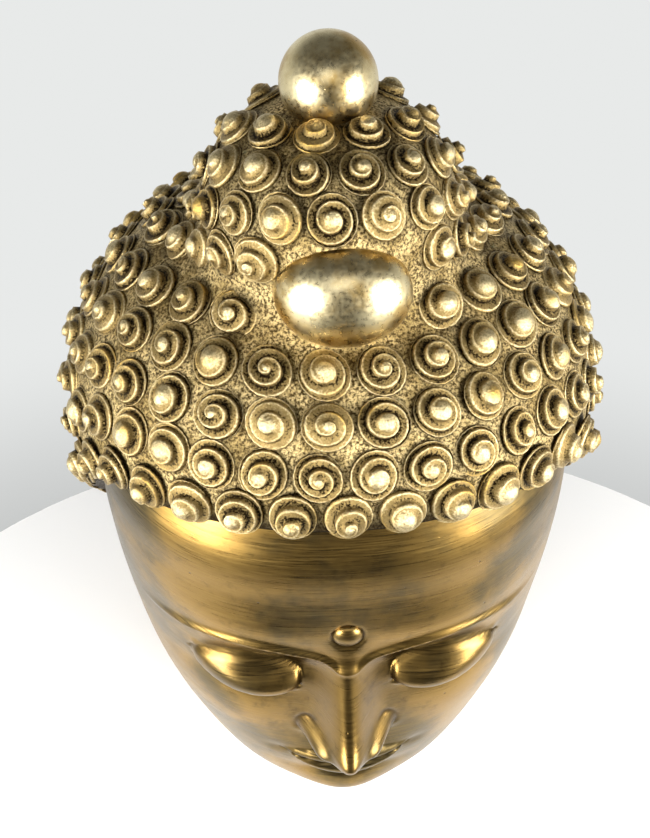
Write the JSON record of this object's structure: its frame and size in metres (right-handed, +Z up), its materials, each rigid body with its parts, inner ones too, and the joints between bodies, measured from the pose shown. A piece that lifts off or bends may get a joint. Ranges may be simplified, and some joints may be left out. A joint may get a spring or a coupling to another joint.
{
  "type": "copper alloy buddha head",
  "caption": "Cast copper alloy Buddha head with snail-shell curls, a raised crown with a round ball and an oval jewel, long ears and a flat-cut neck.",
  "frame": {"origin": "middle of the flat neck cut, at the level the head stands on", "axes": "+Z up through the crown ball, face towards -Y, +X towards the viewer's right when the face is seen from the front"},
  "size_m": [0.1688, 0.178, 0.2735],
  "materials": {
    "bronze": "cast copper alloy, rubbed bright on the curls and face, brown tarnish in the hollows"
  },
  "bodies": {
    "root": {"buddha_head": "bronze"}
  },
  "joints": []
}
